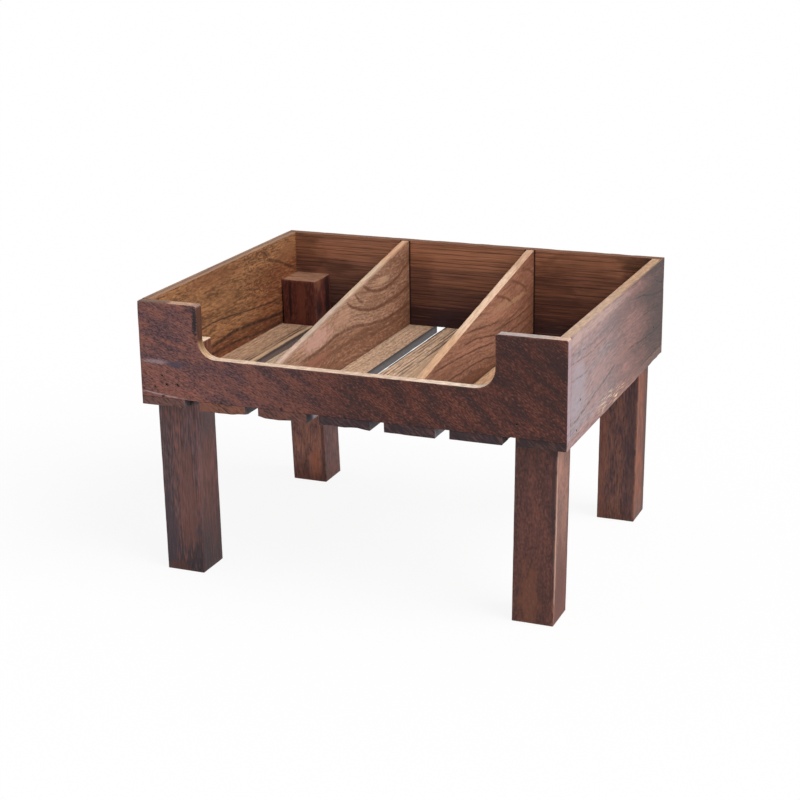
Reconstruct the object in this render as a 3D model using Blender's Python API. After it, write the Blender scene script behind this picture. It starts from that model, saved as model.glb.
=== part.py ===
"""Crate display stand: a drop-front wooden crate with two sloping dividers, standing on four corner posts.

Metres, +Z up. The origin is on the ground under the middle of the crate, and the front faces -Y.
"""

import math

import bmesh
import bpy
from mathutils import Matrix, Vector

# Crate walls
WIDTH = 0.500
DEPTH = 0.400
BOARD_HEIGHT = 0.110
BOARD_THICKNESS = 0.012
EASED_EDGE = 0.001

# Drop front: two towers with a scooped lip between them
LIP_HEIGHT = 0.050
LEFT_TOWER_WIDTH = 0.0745
RIGHT_TOWER_WIDTH = 0.0785
LEFT_SCOOP_RADIUS = 0.0205
RIGHT_SCOOP_RADIUS = 0.0225
TOWER_CORNER_RADIUS = 0.005

# Floor of separate slats, nailed under the walls
STAND_HEIGHT = 0.2025
SLAT_THICKNESS = 0.011
EDGE_SLAT_WIDTH = 0.0545
INNER_SLAT_WIDTH = 0.059
INNER_SLAT_COUNT = 5

# Legs that run up inside the corners
LEG_SIZE = 0.047
LEG_LENGTH = 0.272

# Dividers, flush with the back wall at one end and with the lip at the other
DIVIDER_THICKNESS = 0.010
DIVIDER_COUNT = 2
DIVIDER_OUTSET = 0.00235

# Nails, with their heads set below the surface
NAIL_RADIUS = 0.0008
NAIL_HEAD_RADIUS = 0.0011
NAIL_HEAD_THICKNESS = 0.0008
NAIL_TIP_LENGTH = 0.003
NAIL_SINK = 0.0008
WALL_NAIL_LENGTH = 0.028
SLAT_NAIL_LENGTH = 0.025

# Nail places on a leg: distance in from its outer face, and height above the bottom edge of the wall
FRONT_LEFT_LEG_NAILS = ((0.0050, 0.0120), (0.0200, 0.0155), (0.0335, 0.0165), (0.0145, 0.0255))
FRONT_RIGHT_LEG_NAILS = ((0.0130, 0.0260), (0.0425, 0.0145))
BACK_LEG_NAILS = ((0.0120, 0.0160), (0.0330, 0.0270))
SIDE_LEG_NAILS = ((0.0220, 0.0040), (0.0340, 0.0340))

# Nail places on a divider: heights above its bottom edge, and distances in from its ends
DIVIDER_BACK_NAIL_HEIGHTS = (0.030, 0.085)
DIVIDER_FLOOR_NAIL_INSET = 0.090

# Clearances between pieces that touch, and round a nail
FIT_GAP = 0.0003
NAIL_CLEARANCE = 0.0003
CUTTER_OVERSHOOT = 0.004

ARC_STEPS = 8
NAIL_SIDES = 8
EASED_ANGLE = math.radians(40)

# Levels and planes that follow from the sizes above
SLAT_TOP = STAND_HEIGHT + SLAT_THICKNESS
WALL_BOTTOM = SLAT_TOP + FIT_GAP
WALL_TOP = WALL_BOTTOM + BOARD_HEIGHT
LIP_TOP = WALL_BOTTOM + LIP_HEIGHT
OUTER_X = WIDTH / 2
OUTER_Y = DEPTH / 2
INNER_X = OUTER_X - BOARD_THICKNESS
INNER_Y = OUTER_Y - BOARD_THICKNESS
SEAT_X = INNER_X - FIT_GAP
SEAT_Y = INNER_Y - FIT_GAP

WOODS = {
    "walnut_stain": ((0.105, 0.046, 0.031), 0.55),
    "leg_stain": ((0.118, 0.049, 0.034), 0.55),
    "golden_wood": ((0.285, 0.138, 0.052), 0.50),
    "side_wood": ((0.200, 0.105, 0.078), 0.42),
    "divider_wood": ((0.315, 0.150, 0.085), 0.55),
    "floor_wood": ((0.400, 0.235, 0.125), 0.60),
}


def clear_scene():
    for old in list(bpy.data.objects):
        bpy.data.objects.remove(old, do_unlink=True)


def make_material(name, colour, roughness, metallic):
    material = bpy.data.materials.new(name)
    material.use_nodes = True
    shader = material.node_tree.nodes["Principled BSDF"]
    shader.inputs["Base Color"].default_value = (*colour, 1.0)
    shader.inputs["Roughness"].default_value = roughness
    shader.inputs["Metallic"].default_value = metallic
    material.diffuse_color = (*colour, 1.0)
    return material


def make_materials():
    materials = {}
    for name, (colour, roughness) in WOODS.items():
        materials[name] = make_material(name, colour, roughness, 0.0)
    materials["nail_steel"] = make_material("nail_steel", (0.16, 0.15, 0.14), 0.45, 0.9)
    return materials


def add_object(name, form, location, material, parent):
    """A named object from a bmesh, which it frees."""
    mesh = bpy.data.meshes.new(name)
    bmesh.ops.recalc_face_normals(form, faces=form.faces)
    form.to_mesh(mesh)
    form.free()
    piece = bpy.data.objects.new(name, mesh)
    piece.location = location
    if material:
        mesh.materials.append(material)
    piece.parent = parent
    bpy.context.scene.collection.objects.link(piece)
    return piece


def ease_edges(piece):
    """Sanded arrises on every sharp edge."""
    bevel = piece.modifiers.new("eased_edges", "BEVEL")
    bevel.width = EASED_EDGE
    bevel.segments = 1
    bevel.limit_method = "ANGLE"
    bevel.angle_limit = EASED_ANGLE
    bevel.use_clamp_overlap = False


def block_form(size):
    """A box of this size about its own middle."""
    form = bmesh.new()
    bmesh.ops.create_cube(form, size=1.0)
    bmesh.ops.scale(form, vec=size, verts=form.verts)
    return form


def add_block(name, low, high, material, parent):
    """A sawn block between two corners."""
    low = Vector(low)
    high = Vector(high)
    piece = add_object(name, block_form(high - low), (low + high) / 2, material, parent)
    ease_edges(piece)
    return piece


def extruded_form(outline, thickness):
    """A flat outline of 3-D points, made solid along the thickness vector."""
    form = bmesh.new()
    face = form.faces.new([form.verts.new(point) for point in outline])
    grown = bmesh.ops.extrude_face_region(form, geom=[face])
    moved = [part for part in grown["geom"] if isinstance(part, bmesh.types.BMVert)]
    bmesh.ops.translate(form, vec=thickness, verts=moved)
    return form


def arc(centre_x, centre_z, radius, start, end):
    """Points of an arc in the XZ plane, its angles in degrees."""
    points = []
    for step in range(ARC_STEPS + 1):
        angle = math.radians(start + (end - start) * step / ARC_STEPS)
        points.append((centre_x + radius * math.cos(angle), centre_z + radius * math.sin(angle)))
    return points


def front_outline():
    """The drop front seen from the front, anticlockwise from its lower left corner, above its bottom edge."""
    left = -OUTER_X + LEFT_TOWER_WIDTH
    right = OUTER_X - RIGHT_TOWER_WIDTH
    corner = TOWER_CORNER_RADIUS
    tower = BOARD_HEIGHT - corner
    outline = [(-OUTER_X, 0.0), (OUTER_X, 0.0), (OUTER_X, BOARD_HEIGHT)]
    outline += arc(right + corner, tower, corner, 90, 180)
    outline += arc(right - RIGHT_SCOOP_RADIUS, LIP_HEIGHT + RIGHT_SCOOP_RADIUS, RIGHT_SCOOP_RADIUS, 0, -90)
    outline += arc(left + LEFT_SCOOP_RADIUS, LIP_HEIGHT + LEFT_SCOOP_RADIUS, LEFT_SCOOP_RADIUS, 270, 180)
    outline += arc(left - corner, tower, corner, 0, 90)
    outline.append((-OUTER_X, BOARD_HEIGHT))
    return outline


def add_walls(materials, parent):
    """Front and back run the full width and cover the ends of the two sides."""
    walls = {}
    outline = [(x, 0.0, z) for x, z in front_outline()]
    form = extruded_form(outline, (0.0, BOARD_THICKNESS, 0.0))
    front_place = (0.0, -OUTER_Y, WALL_BOTTOM)
    walls["front"] = add_object("front_board", form, front_place, materials["walnut_stain"], parent)
    ease_edges(walls["front"])
    low = (-OUTER_X, INNER_Y, WALL_BOTTOM)
    high = (OUTER_X, OUTER_Y, WALL_TOP)
    walls["back"] = add_block("back_board", low, high, materials["walnut_stain"], parent)
    low = (-OUTER_X, -SEAT_Y, WALL_BOTTOM)
    high = (-INNER_X, SEAT_Y, WALL_TOP)
    walls["left"] = add_block("left_side_board", low, high, materials["golden_wood"], parent)
    low = (INNER_X, -SEAT_Y, WALL_BOTTOM)
    high = (OUTER_X, SEAT_Y, WALL_TOP)
    walls["right"] = add_block("right_side_board", low, high, materials["side_wood"], parent)
    return walls


def leg_corners(across, along):
    """The low and high corners of the leg at this corner of the crate: across and along are -1 or 1."""
    xs = sorted((across * SEAT_X, across * (SEAT_X - LEG_SIZE)))
    ys = sorted((along * SEAT_Y, along * (SEAT_Y - LEG_SIZE)))
    return Vector((xs[0], ys[0], 0.0)), Vector((xs[1], ys[1], LEG_LENGTH))


def add_legs(materials, parent):
    legs = {}
    for along, end in ((-1, "front"), (1, "back")):
        for across, side in ((-1, "left"), (1, "right")):
            low, high = leg_corners(across, along)
            name = f"{end}_{side}_leg"
            legs[end, side] = add_block(name, low, high, materials["leg_stain"], parent)
    return legs


def slat_spans():
    """The left and right edges of each slat: a narrower one under each side, the rest spread evenly."""
    widths = [EDGE_SLAT_WIDTH] + [INNER_SLAT_WIDTH] * INNER_SLAT_COUNT + [EDGE_SLAT_WIDTH]
    gap = (WIDTH - sum(widths)) / (len(widths) - 1)
    spans = []
    left = -OUTER_X
    for width in widths:
        spans.append((left, left + width))
        left += width + gap
    return spans


def add_slats(materials, parent):
    slats = []
    for number, (left, right) in enumerate(slat_spans(), start=1):
        low = (left, -OUTER_Y, STAND_HEIGHT)
        high = (right, OUTER_Y, SLAT_TOP)
        slats.append(add_block(f"floor_slat_{number}", low, high, materials["floor_wood"], parent))
    return slats


def divider_middles():
    """Where the dividers stand: a little further out than equally wide compartments would put them."""
    bay = (2 * INNER_X - DIVIDER_COUNT * DIVIDER_THICKNESS) / (DIVIDER_COUNT + 1)
    pitch = bay + DIVIDER_THICKNESS
    spread = pitch + 2 * DIVIDER_OUTSET
    return [(number - (DIVIDER_COUNT - 1) / 2) * spread for number in range(DIVIDER_COUNT)]


def add_dividers(materials, parent):
    profile = [(-SEAT_Y, 0.0), (SEAT_Y, 0.0), (SEAT_Y, BOARD_HEIGHT), (-SEAT_Y, LIP_HEIGHT)]
    outline = [(0.0, y, z) for y, z in profile]
    dividers = []
    for number, middle in enumerate(divider_middles(), start=1):
        form = extruded_form(outline, (DIVIDER_THICKNESS, 0.0, 0.0))
        place = (middle - DIVIDER_THICKNESS / 2, 0.0, WALL_BOTTOM)
        divider = add_object(f"divider_{number}", form, place, materials["divider_wood"], parent)
        ease_edges(divider)
        dividers.append(divider)
    return dividers


def turned_form(profile):
    """A solid turned about +Z from (radius, height) points that start and end on the axis."""
    form = bmesh.new()
    verts = [form.verts.new((radius, 0.0, height)) for radius, height in profile]
    edges = [form.edges.new(pair) for pair in zip(verts, verts[1:])]
    bmesh.ops.spin(
        form,
        geom=verts + edges,
        axis=(0, 0, 1),
        cent=(0, 0, 0),
        angle=math.tau,
        steps=NAIL_SIDES,
        use_merge=True,
    )
    bmesh.ops.remove_doubles(form, verts=form.verts, dist=1e-6)
    bmesh.ops.recalc_face_normals(form, faces=form.faces)
    return form


def nail_form(length):
    """A lost-head nail, from the top of its head at the origin to its tip along +Z."""
    shank_end = length - NAIL_TIP_LENGTH
    profile = [
        (0.0, 0.0),
        (NAIL_HEAD_RADIUS, 0.0),
        (NAIL_HEAD_RADIUS, NAIL_HEAD_THICKNESS),
        (NAIL_RADIUS, NAIL_HEAD_THICKNESS),
        (NAIL_RADIUS, shank_end),
        (0.0, length),
    ]
    return turned_form(profile)


def nail_hole_form(length):
    """The hole for that nail, open at the surface that the head is sunk below."""
    head = NAIL_HEAD_RADIUS + NAIL_CLEARANCE
    shank = NAIL_RADIUS + NAIL_CLEARANCE
    start = -NAIL_SINK - CUTTER_OVERSHOOT
    shoulder = NAIL_HEAD_THICKNESS + NAIL_CLEARANCE
    end = length + NAIL_CLEARANCE
    profile = [(0.0, start), (head, start), (head, shoulder), (shank, shoulder), (shank, end), (0.0, end)]
    return turned_form(profile)


class Nailing:
    """Drives the nails, and keeps what each wooden piece has to have cut out of it."""

    def __init__(self, material, parent):
        self.material = material
        self.parent = parent
        self.cuts = {}

    def cut(self, piece, form, matrix):
        bmesh.ops.transform(form, matrix=matrix, verts=form.verts)
        self.cuts.setdefault(piece, []).append(form)

    def drive(self, name, surface_point, direction, length, pieces):
        """A nail driven into a surface point, through these pieces."""
        direction = Vector(direction)
        turn = Vector((0, 0, 1)).rotation_difference(direction)
        head = Vector(surface_point) + direction * NAIL_SINK
        nail = add_object(name, nail_form(length), head, self.material, self.parent)
        nail.rotation_mode = "QUATERNION"
        nail.rotation_quaternion = turn
        for polygon in nail.data.polygons:
            polygon.use_smooth = True
        nail.data.set_sharp_from_angle(angle=EASED_ANGLE)
        for piece in pieces:
            self.cut(piece, nail_hole_form(length), Matrix.LocRotScale(head, turn, None))

    def clear_leg(self, slat, low, high):
        """A notch in a slat where a leg passes it."""
        grown = Vector((FIT_GAP, FIT_GAP, CUTTER_OVERSHOOT))
        low = low - grown
        high = high + grown
        self.cut(slat, block_form(high - low), Matrix.Translation((low + high) / 2))

    def cut_all(self):
        """One hidden cutter and one Boolean for each piece that has holes or notches."""
        for piece, forms in self.cuts.items():
            joined = bmesh.new()
            for form in forms:
                shape = bpy.data.meshes.new("cut")
                form.to_mesh(shape)
                form.free()
                joined.from_mesh(shape)
                bpy.data.meshes.remove(shape)
            cutter = add_object(f"{piece.name}_cutter", joined, (0, 0, 0), None, self.parent)
            cutter.hide_render = True
            cutter.display_type = "WIRE"
            boolean = piece.modifiers.new("holes", "BOOLEAN")
            boolean.operation = "DIFFERENCE"
            boolean.solver = "EXACT"
            boolean.object = cutter


def nail_legs(nailing, walls, legs):
    """Each leg is nailed through the front or back wall and through the side beside it."""
    for (end, side), leg in legs.items():
        across = -1 if side == "left" else 1
        along = -1 if end == "front" else 1
        places = BACK_LEG_NAILS
        if end == "front":
            places = FRONT_LEFT_LEG_NAILS if side == "left" else FRONT_RIGHT_LEG_NAILS
        for number, (inset, height) in enumerate(places, start=1):
            point = (across * (SEAT_X - inset), along * OUTER_Y, WALL_BOTTOM + height)
            name = f"{leg.name}_{end}_nail_{number}"
            nailing.drive(name, point, (0, -along, 0), WALL_NAIL_LENGTH, (walls[end], leg))
        for number, (inset, height) in enumerate(SIDE_LEG_NAILS, start=1):
            point = (across * OUTER_X, along * (SEAT_Y - inset), WALL_BOTTOM + height)
            name = f"{leg.name}_side_nail_{number}"
            nailing.drive(name, point, (-across, 0, 0), WALL_NAIL_LENGTH, (walls[side], leg))


def nail_slats(nailing, walls, slats):
    """Each slat is nailed from below into the edges of the front and back walls."""
    for slat, (left, right) in zip(slats, slat_spans()):
        for along, end in ((-1, "front"), (1, "back")):
            point = ((left + right) / 2, along * (OUTER_Y - BOARD_THICKNESS / 2), STAND_HEIGHT)
            name = f"{slat.name}_{end}_nail"
            nailing.drive(name, point, (0, 0, 1), SLAT_NAIL_LENGTH, (slat, walls[end]))


def nail_dividers(nailing, walls, slats, dividers):
    """Each divider is nailed through the back wall, and from below through the slat that it stands on."""
    for divider, middle in zip(dividers, divider_middles()):
        for number, height in enumerate(DIVIDER_BACK_NAIL_HEIGHTS, start=1):
            point = (middle, OUTER_Y, WALL_BOTTOM + height)
            name = f"{divider.name}_back_nail_{number}"
            nailing.drive(name, point, (0, -1, 0), WALL_NAIL_LENGTH, (walls["back"], divider))
        for slat, (left, right) in zip(slats, slat_spans()):
            if not left < middle - DIVIDER_THICKNESS / 2 < middle + DIVIDER_THICKNESS / 2 < right:
                continue
            for along, end in ((-1, "front"), (1, "back")):
                point = (middle, along * (SEAT_Y - DIVIDER_FLOOR_NAIL_INSET), STAND_HEIGHT)
                name = f"{divider.name}_floor_nail_{end}"
                nailing.drive(name, point, (0, 0, 1), SLAT_NAIL_LENGTH, (slat, divider))


def notch_slats(nailing, slats):
    """A slat is cut out wherever a leg passes through the floor."""
    for slat, (left, right) in zip(slats, slat_spans()):
        for across in (-1, 1):
            for along in (-1, 1):
                low, high = leg_corners(across, along)
                if left < high.x + FIT_GAP and right > low.x - FIT_GAP:
                    nailing.clear_leg(slat, low, high)


def main():
    clear_scene()
    materials = make_materials()
    stand = bpy.data.objects.new("crate_display_stand", None)
    bpy.context.scene.collection.objects.link(stand)
    walls = add_walls(materials, stand)
    legs = add_legs(materials, stand)
    slats = add_slats(materials, stand)
    dividers = add_dividers(materials, stand)
    nailing = Nailing(materials["nail_steel"], stand)
    nail_legs(nailing, walls, legs)
    nail_slats(nailing, walls, slats)
    nail_dividers(nailing, walls, slats, dividers)
    notch_slats(nailing, slats)
    nailing.cut_all()


main()
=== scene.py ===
import math

import bmesh
import bpy
from mathutils import Matrix, Vector, noise


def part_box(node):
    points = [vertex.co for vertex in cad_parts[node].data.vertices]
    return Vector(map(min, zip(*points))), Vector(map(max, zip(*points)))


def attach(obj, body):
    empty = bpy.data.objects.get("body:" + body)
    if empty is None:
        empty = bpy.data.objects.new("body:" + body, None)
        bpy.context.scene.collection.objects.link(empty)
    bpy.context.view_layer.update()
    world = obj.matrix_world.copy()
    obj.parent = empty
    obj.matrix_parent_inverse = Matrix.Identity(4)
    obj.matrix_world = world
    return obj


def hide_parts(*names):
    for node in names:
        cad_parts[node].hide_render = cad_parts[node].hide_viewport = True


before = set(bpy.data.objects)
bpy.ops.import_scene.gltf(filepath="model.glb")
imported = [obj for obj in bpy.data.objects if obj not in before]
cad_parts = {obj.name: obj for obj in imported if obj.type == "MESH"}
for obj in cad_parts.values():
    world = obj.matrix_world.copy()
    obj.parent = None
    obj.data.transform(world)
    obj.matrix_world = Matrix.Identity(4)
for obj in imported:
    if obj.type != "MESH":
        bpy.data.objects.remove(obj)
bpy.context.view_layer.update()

print("frame loaded:", len(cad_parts), "nodes")


class Wire:
    # a shader socket that can be used in sums
    def __init__(self, tree, socket=None):
        self.tree = tree
        self.socket = socket

    def node(self, kind, settings, sockets, out=0):
        made = self.tree.nodes.new(kind)
        for key, value in settings.items():
            if key == "points":
                fillCurve(made.mapping, value)
            else:
                setattr(made, key, value)
        for key, value in sockets.items():
            if isinstance(value, Wire):
                self.tree.links.new(value.socket, made.inputs[key])
            else:
                made.inputs[key].default_value = value
        return Wire(self.tree, made.outputs[out])

    def other(self, out):
        return Wire(self.tree, self.socket.node.outputs[out])

    def sum(self, operation, first, second):
        return self.node("ShaderNodeMath", {"operation": operation}, {0: first, 1: second})

    def __add__(self, second):
        return self.sum("ADD", self, second)

    def __radd__(self, first):
        return self.sum("ADD", first, self)

    def __sub__(self, second):
        return self.sum("SUBTRACT", self, second)

    def __rsub__(self, first):
        return self.sum("SUBTRACT", first, self)

    def __mul__(self, second):
        return self.sum("MULTIPLY", self, second)

    def __rmul__(self, first):
        return self.sum("MULTIPLY", first, self)

    def __truediv__(self, second):
        return self.sum("DIVIDE", self, second)

    def __pow__(self, second):
        return self.sum("POWER", self, second)

    def __abs__(self):
        return self.sum("ABSOLUTE", self, 0.0)


def fillCurve(mapping, points):
    curve = mapping.curves[0]
    curve.points[0].location = points[0]
    curve.points[1].location = points[-1]
    for point in points[1:-1]:
        curve.points.new(*point)
    mapping.update()


def tone(red, green, blue):
    # a colour as it looks on a paint chip, 0 to 255, made linear
    chip = [value / 255 for value in (red, green, blue)]
    return (*[v / 12.92 if v < 0.04045 else ((v + 0.055) / 1.055) ** 2.4 for v in chip], 1.0)


def startMaterial(name):
    mat = bpy.data.materials.new(name)
    mat.use_nodes = True
    start = Wire(mat.node_tree)
    where = start.node("ShaderNodeTexCoord", {}, {}, "Object")
    x = start.node("ShaderNodeSeparateXYZ", {}, {0: where})
    return mat, x, x.other(1), x.other(2)


def facing(wire):
    normal = wire.node("ShaderNodeNewGeometry", {}, {}, "True Normal")
    x = wire.node("ShaderNodeSeparateXYZ", {}, {0: normal})
    return x, x.other(1), x.other(2)


def cloud(a, b, c, detail=2.0, rough=0.5):
    at = a.node("ShaderNodeCombineXYZ", {}, {0: a, 1: b, 2: c})
    return a.node("ShaderNodeTexNoise", {}, {"Vector": at, "Scale": 1.0, "Detail": detail, "Roughness": rough})


softGrain = (70, 70, 70)  # mottles to the metre along x, y and z
crispGrain = (170, 170, 170)


def mottle(x, y, z, scale, detail=2.0, rough=0.5):
    return cloud(x * scale[0], y * scale[1], z * scale[2], detail, rough)


def rise(value, low, high):
    # 0 at low, 1 at high, smooth between
    return value.node("ShaderNodeMapRange", {"interpolation_type": "SMOOTHSTEP"}, {0: value, 1: low, 2: high})


def window(value, start, full, fade, end):
    # 1 from full to fade, 0 before start and after end
    return rise(value, start, full) * rise(value, end, fade)


def toward(part, sign=1):
    # 1 on faces that look along an axis, or against it with sign -1
    return rise(part, 0.3 * sign, 0.6 * sign)


def squarely(part, sign=1):
    # the same for flat faces, without their rounded edges
    return rise(part, 0.5 * sign, 0.8 * sign)


def paint(under, over, mask):
    return mask.node("ShaderNodeMix", {"data_type": "RGBA"}, {0: mask, 6: under, 7: over}, 2)


def lit(colour, amount):
    if not isinstance(colour, Wire):
        colour = colour[:3]
    return amount.node("ShaderNodeVectorMath", {"operation": "SCALE"}, {0: colour, "Scale": amount})


grainSteps = {"rough": 0.55, "drift": 0.3, "patch": (0.38, 0.62), "dark": (0.47, 0.38), "bright": (0.53, 0.64)}


def grainPaint(cool, warm, along, across, through, look):
    # two stains in broad patches, streaks, fine pores, and short dark and bright flecks, all drawn out along the grain
    def layer(key, detail):
        length, fine = look[key]
        seed = look["seed"]
        return cloud(along * length + seed, across * fine, through * fine + seed, detail, grainSteps["rough"])

    patch = layer("patch", 3.0)
    streak = layer("streak", 2.0)
    fleck = layer("fleck", 3.0) + (patch - 0.5) * grainSteps["drift"]
    pore = layer("pore", 1.0)
    colour = paint(cool, warm, rise(patch, *grainSteps["patch"]))
    colour = lit(colour, (streak - 0.5) * look["streakDepth"] + (pore - 0.5) * look["poreDepth"] + 1.0)
    colour = paint(colour, look["dark"], rise(fleck, *grainSteps["dark"]) * look["darkDepth"])
    colour = paint(colour, look["bright"], rise(fleck, *grainSteps["bright"]) * look["brightDepth"])
    return colour, fleck * 0.6 + streak * 0.4


markSteps = {
    "ringGaps": (0.35, 0.55), "strokeGaps": (0.36, 0.54), "strokeFade": 0.012, "spotEdge": (1.15, 0.45),
    "spotRagged": 1.4, "rubGaps": (0.42, 0.62),
}


def ringPaint(colour, level, broken, tint, width, depth):
    # growth rings: a dark line at each whole level
    near = rise(level.sum("PINGPONG", level, 0.5), width, width * 0.3)
    return paint(colour, tint, near * rise(broken, *markSteps["ringGaps"]) * depth)


def handCurve(u, points):
    # a line drawn through points in mm: its height over u, and where it starts and ends
    us = [point[0] / 1000 for point in points]
    vs = [point[1] / 1000 for point in points]
    low, span, length = min(vs), max(max(vs) - min(vs), 1e-4), us[-1] - us[0]
    curve = [((a - us[0]) / length, (b - low) / span) for a, b in zip(us, vs)]
    level = u.node("ShaderNodeFloatCurve", {"points": curve}, {"Value": (u - us[0]) / length})
    return level * span + low, us[0], us[-1]


def strokePaint(colour, u, v, strokes, wobble, broken, gaps=0.65):
    # grain lines: points in mm, half width, softness, colour, strength
    for points, width, soft, tint, strength in strokes:
        level, start, end = handCurve(u, points)
        away = abs(v - level + wobble)
        fade = min(markSteps["strokeFade"], (end - start) / 4)
        ends = window(u, start - fade, start + fade, end - fade, end + fade)
        near = rise(away, (width + soft) / 1000, width / 2000)
        whole = rise(broken, *markSteps["strokeGaps"]) * gaps + 1 - gaps
        colour = paint(colour, tint, near * ends * whole * strength)
    return colour


def spotPaint(colour, u, v, spots, ragged):
    # stains, scuffs, and painted shade and light: middle and reach in mm, colour, strength
    for middle, reach, tint, strength in spots:
        across = (u - middle[0] / 1000) / (reach[0] / 1000)
        up = (v - middle[1] / 1000) / (reach[1] / 1000)
        away = (across * across + up * up) ** 0.5 + (ragged - 0.5) * markSteps["spotRagged"]
        colour = paint(colour, tint, rise(away, *markSteps["spotEdge"]) * strength)
    return colour


def rubEdges(colour, x, y, z, look):
    arris = x.node("ShaderNodeAttribute", {"attribute_name": "arris"}, {}, "Fac")
    patchy = rise(mottle(x, y, z, softGrain, 3.0, 0.6), *markSteps["rubGaps"])
    return paint(colour, look["rub"], arris * arris * patchy * look["rubbed"])


def sawnTop(colour, tint, x, y, z, up, look):
    # the sawn upper edge, streaked along the board
    fineX, fineY, depth = look["sawnGrain"]
    grain = mottle(x, y, z, (fineX, fineY, 60), 3.0, 0.65)
    return paint(colour, lit(tint, grain * depth + 1.0 - depth / 2), up)


def finishMaterial(mat, colour, roughness, height, depth, gloss):
    shader = mat.node_tree.nodes["Principled BSDF"]
    shader.inputs["Specular IOR Level"].default_value = gloss
    bump = colour.node("ShaderNodeBump", {}, {"Strength": 1.0, "Distance": depth, "Height": height})
    links = mat.node_tree.links
    links.new(colour.socket, shader.inputs["Base Color"])
    links.new(roughness.socket, shader.inputs["Roughness"])
    links.new(bump.socket, shader.inputs["Normal"])
    return mat


def woodFinish(mat, colour, height, look):
    # raised grain is a little duller
    return finishMaterial(mat, colour, height * 0.15 + look["rough"], height, look["relief"], look["gloss"])


# Boards with rounded, worn edges

def boxForm(low, high):
    bm = bmesh.new()
    bmesh.ops.create_cube(bm, size=1.0)
    bmesh.ops.scale(bm, vec=high - low, verts=bm.verts)
    bmesh.ops.translate(bm, vec=(low + high) / 2, verts=bm.verts)
    return bm


def outlineForm(points, thickness):
    bm = bmesh.new()
    face = bm.faces.new([bm.verts.new(point) for point in points])
    grown = bmesh.ops.extrude_face_region(bm, geom=[face])
    moved = [part for part in grown["geom"] if isinstance(part, bmesh.types.BMVert)]
    bmesh.ops.translate(bm, vec=thickness, verts=moved)
    return bm


boardWear = {
    "arris": 0.0006, "ring": 0.0022, "step": 0.008, "rub": 0.0004, "grain": 60.0, "joint": (0.2375, 0.1878),
    "foot": 0.2136,
}
legWear = {"arris": 0.0010, "ring": 0.0025, "step": 0.007, "rub": 0.0002, "grain": 55.0, "joint": None, "foot": None}
slatWear = {"arris": 0.0006, "ring": 0.0020, "step": 0.008, "rub": 0.0006, "grain": 70.0, "joint": None, "foot": 0.2136}
wearSpec = {"sharpAngle": 40, "smoothAngle": 50, "flatFrom": 2.5, "fine": 3.1, "shares": (0.6, 0.4), "strength": 2}
jointSpec = {"outerX": 0.2495, "outerY": 0.1995, "footNear": 0.0004, "jointNear": 0.0005}


def unit(axis):
    return Vector((axis == 0, axis == 1, axis == 2))


def roundEdges(bm, edges, radius, segments):
    return bmesh.ops.bevel(bm, geom=edges, offset=radius, offset_type="OFFSET", affect="EDGES", segments=segments,
                           profile=0.5, material=-1, clamp_overlap=False)


def slices(bm, step):
    # cross cuts, so that the edges can be worn along their length
    for axis in range(3):
        places = [v.co[axis] for v in bm.verts]
        low, high = min(places), max(places)
        count = round((high - low) / step)
        normal = unit(axis)
        for number in range(1, count):
            at = normal * (low + (high - low) * number / count)
            geom = bm.verts[:] + bm.edges[:] + bm.faces[:]
            bmesh.ops.bisect_plane(bm, geom=geom, dist=1e-6, plane_co=at, plane_no=normal)


def atJoint(v, wear):
    # corners where a side board meets the front or the back, and a wall its slats, keep a tight edge
    x, y = abs(v.co.x), abs(v.co.y)
    outside = x > jointSpec["outerX"] or y > jointSpec["outerY"]
    if wear["foot"] and outside and abs(v.co.z - wear["foot"]) < jointSpec["footNear"]:
        return True
    if not wear["joint"]:
        return False
    return x > wear["joint"][0] and abs(y - wear["joint"][1]) < jointSpec["jointNear"]


def weather(bm, wear):
    bmesh.ops.recalc_face_normals(bm, faces=bm.faces)
    sharp = [e for e in bm.edges if e.calc_face_angle(0.0) > math.radians(wearSpec["sharpAngle"])
             and not all(atJoint(v, wear) for v in e.verts)]
    rounded = roundEdges(bm, sharp, wear["arris"], 2)
    arris = bm.verts.layers.float.new("arris")
    soft = set(rounded["faces"])
    least = wearSpec["flatFrom"] * wear["ring"]  # narrower faces get no inset
    flats = [f for f in bm.faces if f not in soft and 2 * f.calc_area() / f.calc_perimeter() > least]
    bmesh.ops.inset_individual(bm, faces=flats, thickness=wear["ring"], use_even_offset=True)
    for v in bm.verts:
        v[arris] = 0.0 if atJoint(v, wear) else 1.0
    for f in flats:
        for v in f.verts:
            v[arris] = 0.0
    slices(bm, wear["step"])
    bm.normal_update()
    broad, fine = wearSpec["shares"]
    for v in bm.verts:
        at = v.co * wear["grain"]
        worn = noise.noise(at) * broad + noise.noise(at * wearSpec["fine"]) * fine
        v.co -= v.normal * v[arris] * wear["rub"] * max(0.0, worn) * wearSpec["strength"]
    return bm


def wornBox(node, wear):
    return weather(boxForm(*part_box(node)), wear)


def nailsIn(node):
    low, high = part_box(node)
    found = []
    for name in sorted(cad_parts):
        if "_nail" in name:
            start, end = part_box(name)
            if all(start[i] < high[i] and end[i] > low[i] for i in range(3)):
                found.append((name, start, end))
    return found


holeSize = {"radius": 0.0013, "past": 0.004, "sides": 12, "filled": ["front_right_leg_front_nail_1"]}


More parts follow.
